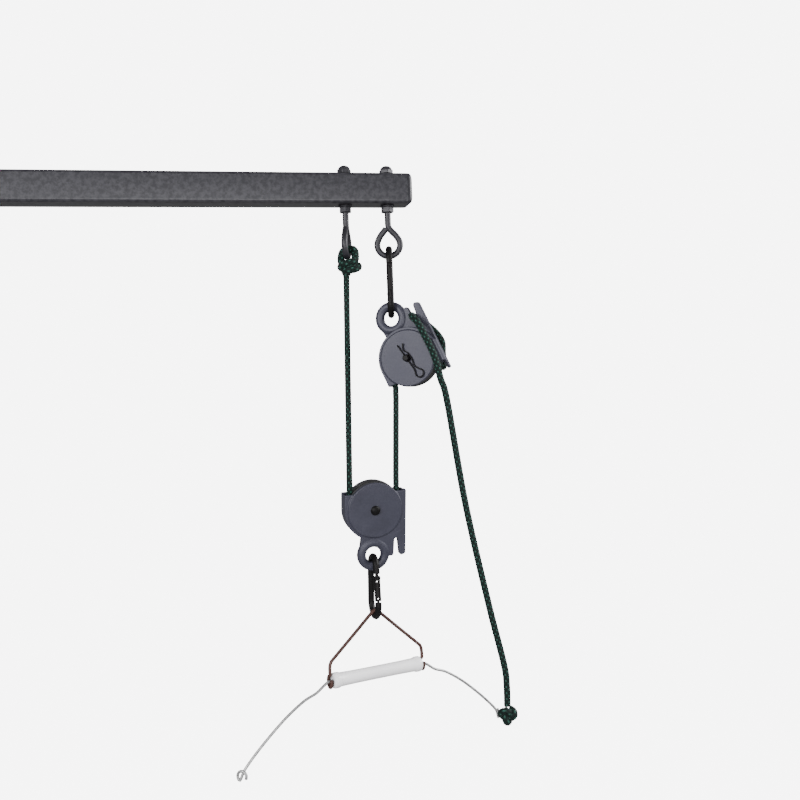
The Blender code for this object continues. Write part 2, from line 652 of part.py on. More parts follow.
def upper_link_matrix():
    """The link's nose end rests on the wire of the outer eye."""
    rest = EYE_Z - EYE_RADIUS + WIRE / 2 + LINK_WIRE / 2 + 2 * GAP
    centre = rest - (UPPER_LINK_LENGTH - LINK_WIRE) / 2
    return at(BOLT_X[1], 0, centre) @ turn_z(UPPER_LINK_YAW)


def upper_block_matrix():
    """The block's eye hangs on the link's narrow end, with its jaw side up and its back to the front."""
    wire_centre = upper_link_matrix().translation.z - (UPPER_LINK_LENGTH - LINK_WIRE) / 2
    eye_z = wire_centre + LINK_WIRE / 2 + 0.0012 - EYE_HOLE
    turn = turn_z(UPPER_BLOCK_YAW) @ turn_y(UPPER_BLOCK_TILT) @ turn_x(180)
    eye = turn @ Vector((EYE_SIDE, (EYE_THICK - BLOCK_DEPTH) / 2, -EYE_FALL))
    return at(BOLT_X[1] - eye.x, -eye.y, eye_z - eye.z) @ turn


def lower_block_matrix():
    return at(*LOWER_SHEAVE) @ turn_z(LOWER_BLOCK_YAW) @ turn_x(LOWER_BLOCK_LEAN)


def lower_eye():
    return lower_block_matrix() @ Vector((EYE_SIDE, (EYE_THICK - BLOCK_DEPTH) / 2, -EYE_FALL))


def lower_link_matrix():
    """The link hangs by its narrow end from the lower block's eye, nose end down."""
    top = lower_eye().z - EYE_HOLE + LINK_WIRE / 2 + 0.0027
    centre = top - (LOWER_LINK_LENGTH - LINK_WIRE) / 2
    return at(lower_eye().x, lower_eye().y, centre) @ turn_z(LOWER_LINK_YAW) @ turn_y(180)


def hanger_matrix():
    """Origin at the middle of the link's lowest wire, which the hanger swings round."""
    low = lower_link_matrix().translation.z - (LOWER_LINK_LENGTH - LINK_WIRE) / 2
    return at(lower_eye().x, lower_eye().y, low) @ turn_z(HANGER_YAW)


# ---- hanger, grip and bail ----

def hanger_assembly():
    frame = hanger_matrix()
    swing = pivot("hanger_axis", frame)
    apex = LINK_WIRE / 2 + HANGER_WIRE / 2 + 2 * GAP
    axle_z = apex - GRIP_DROP
    half = [(0.0, apex), (0.0035, apex - 0.0009), (0.0075, apex - 0.0042)]
    half += [(HANGER_HALF / 2, apex - 0.0270), (HANGER_HALF - 0.0070, apex - 0.0500)]
    half += [(HANGER_HALF - 0.0020, apex - 0.0550), (HANGER_HALF - 0.0003, apex - 0.0605)]
    half += [(HANGER_HALF, axle_z + FOOT_HEIGHT)]
    side = [(x, 0.0, z) for x, z in half]
    for degrees in range(40, 286, 35):
        angle = math.radians(degrees)
        side.append((HANGER_HALF, FOOT_WIDTH * math.sin(angle), axle_z + FOOT_HEIGHT * math.cos(angle)))
    mirrored = [(-x, y, z) for x, y, z in reversed(side[1:])]
    path = smooth_route(mirrored + side, 0.0062)
    place(wire("hanger_wire", path, HANGER_WIRE, BROWN_WIRE, 1), frame, swing)

    axle = frame @ at(0, 0, axle_z)
    grip_empty = pivot("grip_axis", axle, swing)
    length = HANGER_HALF - HANGER_WIRE / 2 - 0.0012
    profile = [(GRIP_BORE, length), (GRIP_FLARE - 0.0030, length), (GRIP_FLARE - 0.0009, length - 0.0009)]
    profile += [(GRIP_FLARE, length - 0.0030), (GRIP_FLARE - 0.0002, length - 0.0090)]
    profile += [(GRIP_RADIUS + 0.0002, length - 0.0200), (GRIP_RADIUS, length - 0.0300)]
    profile += [(radius, -height) for radius, height in reversed(profile)]
    place(turned("grip_tube", profile, WHITE_PLASTIC, 20, "X"), axle, grip_empty)

    wire("bail_axle", [(-BAIL_STRAIGHT, 0.0, 0.0), (BAIL_STRAIGHT, 0.0, 0.0)], BAIL_WIRE, GALVANISED, 1)
    place(bpy.data.objects["bail_axle"], axle, grip_empty)
    bail = [(BAIL_STRAIGHT + 0.00015, 0.0), (0.0672, 0.0), (0.0700, -0.0002), (0.0765, -0.0042), (0.087, -0.0112)]
    bail += [(0.104, -0.0178), (0.128, -0.0330), (0.152, -0.0525), (0.170, -0.0690), (0.183, -0.0830)]
    right = [(x, 0.0, z) for x, z in bail]
    hook = (0.1865, 0.0, -0.0895)
    for degrees in range(30, 301, 45):
        angle = math.radians(degrees - 90)
        right.append((hook[0] + 0.0060 * math.cos(angle) * 0.6, 0.0060 * math.cos(angle) * 0.8,
                      hook[2] + 0.0060 * math.sin(angle)))
    left = [(-x, y, z) for x, y, z in right]
    for name, arm_route in (("bail_arm_right", right), ("bail_arm_left", left)):
        place(wire(name, smooth_route(arm_route, 0.0100), BAIL_WIRE, GALVANISED, 1), axle, grip_empty)


# ---- rope ----

def knot_body(name, size, matrix, sides=14):
    """A round lump the size of the knot."""
    mesh = bpy.data.meshes.new(name)
    work = bmesh.new()
    bmesh.ops.create_uvsphere(work, u_segments=sides, v_segments=sides // 2, radius=1.0)
    bmesh.ops.scale(work, vec=size, verts=work.verts)
    work.to_mesh(mesh)
    work.free()
    mesh.shade_smooth()
    return place(store(name, mesh, ROPE_BRAID), matrix)


def eye_knot():
    centre = EYE_Z - EYE_RADIUS - 0.0068
    matrix = at(BOLT_X[0] + KNOT_SHIFT, 0, centre)
    knot = knot_body("rope_eye_knot", KNOT, matrix)
    clear = WIRE / 2 + 0.0006
    section = arc((EYE_RADIUS, 0), clear, 0, 324, 9)
    tunnel = turned("knot_tunnel", section, ROPE_BRAID, 28, "Y")
    tunnel.data.transform(at(-KNOT_SHIFT, 0, EYE_Z - centre) @ turn_z(EYE_YAW[0]))
    shape_with(knot, tunnel)
    return Vector((BOLT_X[0] - 0.0018, 0, centre - KNOT[2] - GAP))


def fall_start(matrix, side):
    """Where a fall leaves the lower block: the rope has turned from the block's plane to upright."""
    bend = matrix @ Vector((side * SHEAVE_PITCH, 0, 0.0320))
    return bend + Vector((0, 0, 0.0060))


def lower_wrap(matrix):
    inside = [(-SHEAVE_PITCH, 0, height) for height in (0.0260, 0.0160, 0.0080)]
    inside += [(x, 0, z) for x, z in arc((0, 0), SHEAVE_PITCH, 180, 360, 20)]
    inside += [(SHEAVE_PITCH, 0, height) for height in (0.0080, 0.0160, 0.0260)]
    world = [matrix @ Vector(point) for point in inside]
    for index, side in ((0, -1), (-1, 1)):
        bend = matrix @ Vector((side * SHEAVE_PITCH, 0, 0.0320))
        soft = (world[index] + 2 * bend + fall_start(matrix, side)) / 4
        extra = [soft, fall_start(matrix, side) - Vector((0, 0, GAP))]
        world = list(reversed(extra)) + world if side < 0 else world + extra
    return wire("rope_lower_wrap", [tuple(point) for point in world], ROPE, ROPE_BRAID, 2)


def rope():
    upper = upper_block_matrix()
    lower = lower_block_matrix()
    knot_foot = eye_knot()
    left_low = fall_start(lower, -1)
    wire("rope_left_fall", [tuple(knot_foot), tuple(left_low)], ROPE, ROPE_BRAID)
    lower_wrap(lower)

    # The fall rounds the casting's lip on its way up to the sheave.
    mouth = [Vector(point) for point in LIP_ROUTE]
    plumb = upper.inverted().to_3x3() @ Vector((0, 0, -1))
    below = mouth[0] + plumb * 0.0140
    right_low = fall_start(lower, 1)
    right_high = upper @ below
    wire("rope_right_fall", [tuple(right_low), tuple(right_high)], ROPE, ROPE_BRAID)

    path = [below - plumb * GAP, mouth[0] + plumb * 0.0060] + mouth
    path += [Vector((x, 0, z)) for x, z in arc((0, 0), SHEAVE_PITCH, 180, 360, 18)]
    path = [upper @ point for point in path]
    wrap = [tuple(point) for point in path]
    loop = [tuple(upper @ Vector(point)) for point in [(SHEAVE_PITCH, 0, 0)] + JAW_LOOP]
    loop = smooth_route(loop, 0.0064)
    squeezed = len(wrap) + len(loop) - 1
    wire("rope_upper_wrap", wrap + loop[1:], ROPE, ROPE_BRAID, 2, (squeezed - 3, squeezed))

    tail = [tuple(upper @ Vector(point)) for point in TAIL_START] + TAIL_ROUTE
    wire("rope_tail", smooth_route(tail, 0.0200), ROPE_SLACK, ROPE_BRAID, 2)
    end = Vector(TAIL_ROUTE[-1])
    knot_body("rope_end_knot", END_KNOT, at(end.x, end.y, end.z - END_KNOT[2] - GAP), 12)


ceiling_bracket()
arm()
eye_bolt(0)
eye_bolt(1)
snap_link("upper", UPPER_LINK_LENGTH, upper_link_matrix())
block_assembly("upper", UPPER_BAR_TAIL, upper_block_matrix())
lift = pivot("lift_axis", at(*LOWER_SHEAVE))
block_assembly("lower", LOWER_BAR_TAIL, lower_block_matrix(), lift)
link_swing = pivot("lower_link_axis", at(*lower_eye()), lift)
snap_link("lower", LOWER_LINK_LENGTH, lower_link_matrix(), link_swing)
hanger_assembly()
rope()
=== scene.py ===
import json
import math
import bmesh
import bpy
import numpy as np
from mathutils import Matrix, Vector


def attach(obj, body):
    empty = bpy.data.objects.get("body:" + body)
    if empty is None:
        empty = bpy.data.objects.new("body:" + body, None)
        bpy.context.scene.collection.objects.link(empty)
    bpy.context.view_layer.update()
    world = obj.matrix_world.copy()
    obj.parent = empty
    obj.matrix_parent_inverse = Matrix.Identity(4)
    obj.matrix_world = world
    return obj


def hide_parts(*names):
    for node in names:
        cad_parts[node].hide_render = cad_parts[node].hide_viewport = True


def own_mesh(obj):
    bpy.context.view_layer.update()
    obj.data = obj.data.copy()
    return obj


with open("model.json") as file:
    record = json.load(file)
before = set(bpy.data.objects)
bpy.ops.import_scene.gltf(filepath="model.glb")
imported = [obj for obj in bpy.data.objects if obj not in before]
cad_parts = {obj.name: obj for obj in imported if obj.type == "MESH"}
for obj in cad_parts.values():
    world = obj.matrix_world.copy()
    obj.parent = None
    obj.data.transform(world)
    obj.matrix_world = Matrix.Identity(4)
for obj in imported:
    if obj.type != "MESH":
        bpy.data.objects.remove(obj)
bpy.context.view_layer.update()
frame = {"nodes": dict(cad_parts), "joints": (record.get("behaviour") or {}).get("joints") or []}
nodes = frame["nodes"]
jointPlace = {joint["name"]: joint.get("pos_m") for joint in frame["joints"]}


def turnX(degrees):
    return Matrix.Rotation(math.radians(degrees), 4, "X")


def turnY(degrees):
    return Matrix.Rotation(math.radians(degrees), 4, "Y")


def turnZ(degrees):
    return Matrix.Rotation(math.radians(degrees), 4, "Z")


def shift(x, y, z):
    return Matrix.Translation((x, y, z))


# camera, level, with a slight roll
cameraSet = {"place": (0.3286, -1.2435, -0.4369), "azimuth": -11.6, "roll": 2.1, "lens": 45.0}


def makeCamera(v):
    data = bpy.data.cameras.new("camera")
    data.lens = v["lens"]
    data.sensor_width = 36.0
    data.clip_start = 0.01
    azimuth = math.radians(v["azimuth"])
    roll = math.radians(v["roll"])
    ahead = Vector((-math.sin(azimuth), math.cos(azimuth), 0))
    right = Vector((math.cos(azimuth), math.sin(azimuth), 0))
    up = Vector((0, 0, 1))
    across = right * math.cos(roll) - up * math.sin(roll)
    upward = right * math.sin(roll) + up * math.cos(roll)
    camera = bpy.data.objects.new("camera", data)
    place = Matrix((across, upward, -ahead)).transposed().to_4x4()
    place.translation = Vector(v["place"])
    camera.matrix_world = place
    bpy.context.scene.collection.objects.link(camera)
    bpy.context.scene.camera = camera


makeCamera(cameraSet)
print("camera placed")


# shader groups: each is built once and gives only heights, masks and tones

def startGroup(name, inputs, outputs):
    group = bpy.data.node_groups.new(name, "ShaderNodeTree")
    for label, value in inputs:
        socket = group.interface.new_socket(label, in_out="INPUT", socket_type="NodeSocketFloat")
        socket.default_value = value
    for label in outputs:
        group.interface.new_socket(label, in_out="OUTPUT", socket_type="NodeSocketFloat")
    return group, group.nodes.new("NodeGroupInput"), group.nodes.new("NodeGroupOutput")


def mathNode(tree, operation, first, second):
    node = tree.nodes.new("ShaderNodeMath")
    node.operation = operation
    for socket, value in zip(node.inputs, (first, second)):
        if isinstance(value, (int, float)):
            socket.default_value = value
        else:
            tree.links.new(value, socket)
    return node.outputs[0]


def noiseNode(tree, vector, scale, detail=4.0, roughness=0.6):
    node = tree.nodes.new("ShaderNodeTexNoise")
    node.inputs["Detail"].default_value = detail
    node.inputs["Roughness"].default_value = roughness
    tree.links.new(vector, node.inputs["Vector"])
    if isinstance(scale, (int, float)):
        node.inputs["Scale"].default_value = scale
    else:
        tree.links.new(scale, node.inputs["Scale"])
    return node.outputs["Fac"]


def rangeNode(tree, value, low, high, toLow=0.0, toHigh=1.0):
    node = tree.nodes.new("ShaderNodeMapRange")
    node.inputs["From Min"].default_value = low
    node.inputs["From Max"].default_value = high
    node.inputs["To Min"].default_value = toLow
    node.inputs["To Max"].default_value = toHigh
    tree.links.new(value, node.inputs["Value"])
    return node.outputs["Result"]


def paintGrainGroup():  # orange peel, broad mottling and fine pits of a sprayed coat
    group, given, made = startGroup("paintGrain", (("Scale", 900.0), ("Mottle", 26.0)), ("Height", "Tone"))
    spot = group.nodes.new("ShaderNodeTexCoord").outputs["Object"]
    peel = noiseNode(group, spot, given.outputs["Scale"], 3.0)
    fine = noiseNode(group, spot, 3400.0, 2.0)
    broad = noiseNode(group, spot, given.outputs["Mottle"], 5.0, 0.65)
    height = mathNode(group, "ADD", mathNode(group, "MULTIPLY", peel, 0.7),
                      mathNode(group, "MULTIPLY", fine, 0.3))
    group.links.new(height, made.inputs["Height"])
    tone = mathNode(group, "ADD", mathNode(group, "MULTIPLY", broad, 0.7),
                    mathNode(group, "MULTIPLY", peel, 0.3))
    group.links.new(rangeNode(group, tone, 0.30, 0.70), made.inputs["Tone"])
    return group


def edgeWearGroup():  # worn metal on outward edges, broken up by noise
    inputs = (("Start", 0.53), ("Reach", 0.06), ("Breakup", 160.0))
    group, given, made = startGroup("edgeWear", inputs, ("Mask",))
    bend = group.nodes.new("ShaderNodeNewGeometry").outputs["Pointiness"]
    spot = group.nodes.new("ShaderNodeTexCoord").outputs["Object"]
    edge = mathNode(group, "SUBTRACT", bend, given.outputs["Start"])
    edge = mathNode(group, "DIVIDE", edge, given.outputs["Reach"])
    rough = rangeNode(group, noiseNode(group, spot, given.outputs["Breakup"], 6.0, 0.7), 0.42, 0.62)
    mask = mathNode(group, "MULTIPLY", edge, rough)
    mask = mathNode(group, "MINIMUM", mathNode(group, "MAXIMUM", mask, 0.0), 1.0)
    group.links.new(mask, made.inputs["Mask"])
    return group


def scuffGroup():  # thin handling scratches
    group, given, made = startGroup("scuffs", (("Scale", 40.0), ("Amount", 0.5)), ("Mask",))
    spot = group.nodes.new("ShaderNodeTexCoord").outputs["Object"]
    stretch = group.nodes.new("ShaderNodeMapping")
    stretch.inputs["Rotation"].default_value = (0.4, 0.9, 0.3)
    stretch.inputs["Scale"].default_value = (1.0, 22.0, 1.0)
    group.links.new(spot, stretch.inputs["Vector"])
    line = noiseNode(group, stretch.outputs["Vector"], given.outputs["Scale"], 6.0, 0.75)
    thin = rangeNode(group, line, 0.62, 0.70)
    group.links.new(mathNode(group, "MULTIPLY", thin, given.outputs["Amount"]), made.inputs["Mask"])
    return group


paintGrain = paintGrainGroup()
edgeWear = edgeWearGroup()
scuffs = scuffGroup()


def useGroup(tree, group, **values):
    node = tree.nodes.new("ShaderNodeGroup")
    node.node_tree = group
    for label, value in values.items():
        node.inputs[label].default_value = value
    return node


def mixColour(tree, mask, first, second):
    node = tree.nodes.new("ShaderNodeMix")
    node.data_type = "RGBA"
    tree.links.new(mask, node.inputs["Factor"])
    for socket, value in ((node.inputs[6], first), (node.inputs[7], second)):
        if isinstance(value, tuple):
            socket.default_value = (*value, 1.0)
        else:
            tree.links.new(value, socket)
    return node.outputs[2]


def mixValue(tree, mask, first, second):
    node = tree.nodes.new("ShaderNodeMix")
    tree.links.new(mask, node.inputs[0])
    for socket, value in ((node.inputs[2], first), (node.inputs[3], second)):
        if isinstance(value, (int, float)):
            socket.default_value = value
        else:
            tree.links.new(value, socket)
    return node.outputs[0]


def bumpInto(tree, shader, height, strength, distance):
    bump = tree.nodes.new("ShaderNodeBump")
    bump.inputs["Strength"].default_value = strength
    bump.inputs["Distance"].default_value = distance
    tree.links.new(height, bump.inputs["Height"])
    tree.links.new(bump.outputs["Normal"], shader.inputs["Normal"])


# coated and bare metals and plastics share one recipe, each with its own values
def surface(name, v):
    made = bpy.data.materials.new(name)
    made.use_nodes = True
    tree = made.node_tree
    shader = tree.nodes["Principled BSDF"]
    shader.inputs["Metallic"].default_value = v["metallic"]
    shader.inputs["IOR"].default_value = v.get("ior", 1.5)
    shader.inputs["Specular IOR Level"].default_value = v.get("specular", 0.4)
    shader.inputs["Coat Weight"].default_value = v.get("coat", 0.0)
    shader.inputs["Coat Roughness"].default_value = 0.25
    grain = useGroup(tree, paintGrain, Scale=v["grain"], Mottle=v["mottle"])
    wear = useGroup(tree, edgeWear, Start=0.53, Reach=0.07)
    scratch = useGroup(tree, scuffs, Scale=40.0, Amount=v.get("scuffAmount", 0.3))
    colour = mixColour(tree, grain.outputs["Tone"], v["dark"], v["light"])
    worn = mathNode(tree, "MULTIPLY", wear.outputs["Mask"], v.get("wear", 0.5))
    colour = mixColour(tree, worn, colour, v.get("bare", v["light"]))
    colour = mixColour(tree, scratch.outputs["Mask"], colour, v.get("bare", v["light"]))
    tree.links.new(colour, shader.inputs["Base Color"])
    rough = mixValue(tree, grain.outputs["Tone"], v["smooth"], v["rough"])
    tree.links.new(mixValue(tree, worn, rough, 0.35), shader.inputs["Roughness"])
    bumpInto(tree, shader, grain.outputs["Height"], v["bump"], 0.0004)
    return made


armPaint = surface("armPaint", {
    "dark": (0.0125, 0.0120, 0.0160), "light": (0.0150, 0.0145, 0.0190), "metallic": 0.15, "smooth": 0.38,
    "rough": 0.42,
    "grain": 1400.0, "mottle": 9.0, "bump": 0.035, "wear": 0.25, "bare": (0.09, 0.088, 0.10),
    "scuffAmount": 0.06})
boltPaint = surface("boltPaint", {
    "dark": (0.014, 0.0135, 0.017), "light": (0.028, 0.027, 0.033), "metallic": 0.25, "smooth": 0.40,
    "rough": 0.52,
    "grain": 1600.0, "mottle": 60.0, "bump": 0.25, "wear": 0.5, "bare": (0.15, 0.145, 0.16),
    "scuffAmount": 0.2})
castPaint = surface("castPaint", {
    "dark": (0.023, 0.023, 0.036), "light": (0.036, 0.036, 0.055), "metallic": 0.15, "smooth": 0.42,
    "rough": 0.55,
    "grain": 1100.0, "mottle": 34.0, "bump": 0.35, "wear": 0.55, "bare": (0.12, 0.12, 0.145),
    "scuffAmount": 0.18})
linkSteel = surface("linkSteel", {
    "dark": (0.0025, 0.0023, 0.0025), "light": (0.0065, 0.0058, 0.0062), "metallic": 0.10, "smooth": 0.42,
    "rough": 0.52,
    "grain": 1500.0, "mottle": 70.0, "bump": 0.08, "wear": 0.25, "ior": 1.4, "specular": 0.2,
    "bare": (0.022, 0.020, 0.020), "scuffAmount": 0.30})
nylonBlack = surface("nylonBlack", {
    "dark": (0.004, 0.004, 0.0045), "light": (0.010, 0.010, 0.011), "metallic": 0.0, "smooth": 0.42,
    "rough": 0.58,
    "grain": 1800.0, "mottle": 50.0, "bump": 0.15, "wear": 0.3, "bare": (0.03, 0.03, 0.03),
    "scuffAmount": 0.2})
bushBronze = surface("bushBronze", {
    "dark": (0.26, 0.15, 0.06), "light": (0.42, 0.27, 0.12), "metallic": 1.0, "smooth": 0.28, "rough": 0.45,
    "grain": 1500.0, "mottle": 60.0, "bump": 0.15, "wear": 0.4, "bare": (0.60, 0.44, 0.24)})
wireBrown = surface("wireBrown", {
    "dark": (0.032, 0.013, 0.010), "light": (0.075, 0.034, 0.026), "metallic": 0.10, "smooth": 0.36,
    "rough": 0.52,
    "grain": 1200.0, "mottle": 60.0, "bump": 0.25, "wear": 0.4, "bare": (0.13, 0.075, 0.06),
    "scuffAmount": 0.25})
gripWhite = surface("gripWhite", {
    "dark": (0.86, 0.85, 0.86), "light": (0.94, 0.93, 0.95), "metallic": 0.0, "smooth": 0.26, "rough": 0.40,
    "grain": 500.0, "mottle": 45.0, "bump": 0.10, "wear": 0.15, "bare": (0.88, 0.87, 0.88),
    "scuffAmount": 0.12,
    "coat": 0.2})
wireGalvanised = surface("wireGalvanised", {
    "dark": (0.27, 0.27, 0.27), "light": (0.48, 0.48, 0.48), "metallic": 0.80, "smooth": 0.36, "rough": 0.56,
    "grain": 900.0, "mottle": 150.0, "bump": 0.20, "wear": 0.3, "bare": (0.62, 0.62, 0.62),
    "scuffAmount": 0.25})


def braidMaterial(v):  # the strand attribute is the height of each carrier, fleck marks its pale yarns
    made = bpy.data.materials.new("greenBraid")
    made.use_nodes = True
    tree = made.node_tree
    shader = tree.nodes["Principled BSDF"]
    strand = tree.nodes.new("ShaderNodeAttribute")
    strand.attribute_name = "strand"
    fleck = tree.nodes.new("ShaderNodeAttribute")
    fleck.attribute_name = "fleck"
    spot = tree.nodes.new("ShaderNodeTexCoord").outputs["Object"]
    fibre = noiseNode(tree, spot, 2600.0, 3.0, 0.7)
    patch = noiseNode(tree, spot, 38.0, 4.0)
    # painted shade: the colour darkens from the yarn colour to the groove colour where the carrier is low,
    # between the strands
    grooveShadeMix = rangeNode(tree, strand.outputs["Fac"], 0.25, 0.95)
    colour = mixColour(tree, grooveShadeMix, v["groove"], v["yarn"])
    colour = mixColour(tree, mathNode(tree, "MULTIPLY", patch, 0.55), colour, v["yarnDark"])
    pale = mathNode(tree, "MULTIPLY", fleck.outputs["Fac"], rangeNode(tree, fibre, 0.25, 0.60))
    colour = mixColour(tree, mathNode(tree, "MULTIPLY", pale, v["fleckShare"]), colour, v["fleck"])
    tree.links.new(colour, shader.inputs["Base Color"])
    tree.links.new(rangeNode(tree, fibre, 0.3, 0.7, v["smooth"], v["rough"]), shader.inputs["Roughness"])
    shader.inputs["Sheen Weight"].default_value = 0.05
    shader.inputs["Specular IOR Level"].default_value = 0.15
    shader.inputs["Sheen Roughness"].default_value = 0.5
    bumpInto(tree, shader, fibre, 0.5, 0.0003)
    return made


# groove is painted shade for the hollows between carriers; yarn and yarnDark are the dyed yarn, fleck the
# pale yarns
greenBraid = braidMaterial({
    "groove": (0.0003, 0.0010, 0.0008), "yarn": (0.0012, 0.0120, 0.0085),
    "yarnDark": (0.0006, 0.0045, 0.0036),
    "fleck": (0.045, 0.150, 0.115), "fleckShare": 0.75, "smooth": 0.55, "rough": 0.80})
print("materials ready")


# ways of making

def smoothRoute(points, spacing):  # points read from one smooth curve through the route
    route = [Vector(point) for point in points]
    route = [route[0] * 2 - route[1]] + route + [route[-1] * 2 - route[-2]]
    read = []
    for index in range(1, len(route) - 2):
        before, here, there, after = route[index - 1:index + 3]
        count = max(1, round((there - here).length / spacing))
        for step in range(count):
            t = step / count
            read.append(0.5 * (2 * here + (there - before) * t
                               + (2 * before - 5 * here + 4 * there - after) * t ** 2
                               + (3 * here - before - 3 * there + after) * t ** 3))
    read.append(route[-2])
    return read


def arcPoints(centre, radius, start, end, count):
    points = []
    for step in range(count + 1):
        angle = math.radians(start + (end - start) * step / count)
        points.append((centre[0] + radius * math.cos(angle), centre[1] + radius * math.sin(angle)))
    return points


def linked(name, mesh, material=None):
    made = bpy.data.objects.new(name, mesh)
    bpy.context.scene.collection.objects.link(made)
    if material is not None:
        mesh.materials.clear()
        mesh.materials.append(material)
    return made


def settle(piece, body, slot, *replaced):
    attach(piece, body)
    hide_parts(*replaced)
    return piece


def bakeMesh(holder, name, material):  # evaluated result as one plain mesh, and the holder removed
    graph = bpy.context.evaluated_depsgraph_get()
    mesh = bpy.data.meshes.new_from_object(holder.evaluated_get(graph))
    bpy.data.objects.remove(holder, do_unlink=True)
    mesh.name = name
    return linked(name, mesh, material)


# a wire of any route: a round section swept along it, ends closed
def wireTree():
    tree = bpy.data.node_groups.new("wireAlongRoute", "GeometryNodeTree")
    tree.interface.new_socket("Geometry", in_out="INPUT", socket_type="NodeSocketGeometry")
    tree.interface.new_socket("Radius", in_out="INPUT", socket_type="NodeSocketFloat")
    tree.interface.new_socket("Sides", in_out="INPUT", socket_type="NodeSocketInt")
    tree.interface.new_socket("Finish", in_out="INPUT", socket_type="NodeSocketMaterial")
    tree.interface.new_socket("Geometry", in_out="OUTPUT", socket_type="NodeSocketGeometry")
    given = tree.nodes.new("NodeGroupInput")
    section = tree.nodes.new("GeometryNodeCurvePrimitiveCircle")
    sweep = tree.nodes.new("GeometryNodeCurveToMesh")
    sweep.inputs["Fill Caps"].default_value = True
    real = tree.nodes.new("GeometryNodeRealizeInstances")
    finish = tree.nodes.new("GeometryNodeSetMaterial")
    out = tree.nodes.new("NodeGroupOutput")
    tree.links.new(given.outputs["Radius"], section.inputs["Radius"])
    tree.links.new(given.outputs["Sides"], section.inputs["Resolution"])
    tree.links.new(given.outputs["Geometry"], sweep.inputs["Curve"])
    tree.links.new(section.outputs["Curve"], sweep.inputs["Profile Curve"])
    tree.links.new(sweep.outputs["Mesh"], real.inputs["Geometry"])
    tree.links.new(real.outputs["Geometry"], finish.inputs["Geometry"])
    tree.links.new(given.outputs["Finish"], finish.inputs["Material"])
    tree.links.new(finish.outputs["Geometry"], out.inputs["Geometry"])
    return tree


wireAlongRoute = wireTree()


def wirePiece(name, points, diameter, material, sides=20):
    curve = bpy.data.curves.new(name, "CURVE")
    curve.dimensions = "3D"
    spline = curve.splines.new("POLY")
    spline.points.add(len(points) - 1)
    for place, point in zip(spline.points, points):
        place.co = (*point, 1.0)
    holder = bpy.data.objects.new(name + "Route", curve)
    bpy.context.scene.collection.objects.link(holder)
    sweep = holder.modifiers.new("sweep", "NODES")
    sweep.node_group = wireAlongRoute
    items = wireAlongRoute.interface.items_tree
    sockets = {item.name: item.identifier for item in items if item.in_out == "INPUT"}
    sweep[sockets["Radius"]] = diameter / 2
    sweep[sockets["Sides"]] = sides
    sweep[sockets["Finish"]] = material
    made = bakeMesh(holder, name, material)
    fixFaces(made.data)
    return made


def fixFaces(mesh, sharp=40):
    work = bmesh.new()
    work.from_mesh(mesh)
    bmesh.ops.remove_doubles(work, verts=work.verts, dist=1e-6)
    bmesh.ops.recalc_face_normals(work, faces=work.faces)
    work.to_mesh(mesh)
    work.free()
    mesh.shade_smooth()
    mesh.set_sharp_from_angle(angle=math.radians(sharp))


# a closed (radius, height) profile round local Z
def turnedPiece(name, profile, material, matrix, steps=72, sharp=40):
    mesh = bpy.data.meshes.new(name)
    verts, faces = [], []
    count = len(profile)
    for step in range(steps):
        angle = 2 * math.pi * step / steps
        verts += [matrix @ Vector((r * math.cos(angle), r * math.sin(angle), h)) for r, h in profile]
    for step in range(steps):
        near, far = step * count, (step + 1) % steps * count
        for index in range(count):
            after = (index + 1) % count
            faces.append((near + index, far + index, far + after, near + after))
    mesh.from_pydata(verts, [], faces)
    made = linked(name, mesh, material)
    fixFaces(mesh, sharp)
    return made


# a finer copy of a solid, its edges eased as cast or pressed
def softCopy(name, node, voxel, passes, material):
    mesh = nodes[node].data.copy()
    work = bmesh.new()
    work.from_mesh(mesh)
    bmesh.ops.remove_doubles(work, verts=work.verts, dist=1e-6)
    work.to_mesh(mesh)
    work.free()
    holder = bpy.data.objects.new(name + "Source", mesh)
    bpy.context.scene.collection.objects.link(holder)
    remesh = holder.modifiers.new("remesh", "REMESH")
    remesh.mode = "VOXEL"
    remesh.voxel_size = voxel
    ease = holder.modifiers.new("ease", "SMOOTH")
    ease.factor = 0.5
    ease.iterations = passes
    made = bakeMesh(holder, name, material)
    made.data.shade_smooth()
    return made


# rope: one braid followed from the eye knot to the free end

ropeSet = {"radius": 0.0040, "slack": 0.0088, "carriers": 8, "pitch": 0.0038, "relief": 0.17,
           "ring": 0.0007, "around": 40}
sheavePitch = 0.03035
eyeZ = -0.2399
eyeRadius = 0.0144
boltX = (0.5227, 0.5766)
upperPlace = shift(*jointPlace["upper_sheave_turn"]) @ turnZ(-31.6) @ turnY(-25.0) @ turnX(180)
lowerPlace = shift(*jointPlace["lower_sheave_turn"]) @ turnZ(5.4) @ turnX(9.0)

knotFoot = Vector((boltX[0] - 0.0018, 0, eyeZ - eyeRadius - 0.0068 - 0.0178 - 0.0003))
jawLoop = [(0.0304, 0.0, 0.0110), (0.0304, 0.0, 0.0212), (0.0304, -0.0030, 0.0262),
           (0.0306, -0.0088, 0.0284), (0.0312, -0.0145, 0.0262), (0.0328, -0.0176, 0.0200),
           (0.0372, -0.0176, 0.0100), (0.0422, -0.0176, -0.0020), (0.0408, -0.0176, -0.0150),
           (0.0355, -0.0176, -0.0290), (0.0312, -0.0174, -0.0385), (0.0288, -0.0140, -0.0440),
           (0.0284, -0.0085, -0.0452), (0.0284, -0.0030, -0.0452)]
lipRoute = [(-0.0341, 0.0, 0.0235), (-0.0334, 0.0, 0.0180), (-0.0319, 0.0, 0.0120), (-0.0308, 0.0, 0.0060)]
tailStart = [(0.0284, -0.0027, -0.0452), (0.0284, 0.0050, -0.0452), (0.0297, 0.0128, -0.0432),
             (0.0325, 0.0182, -0.0370), (0.0350, 0.0200, -0.0280)]
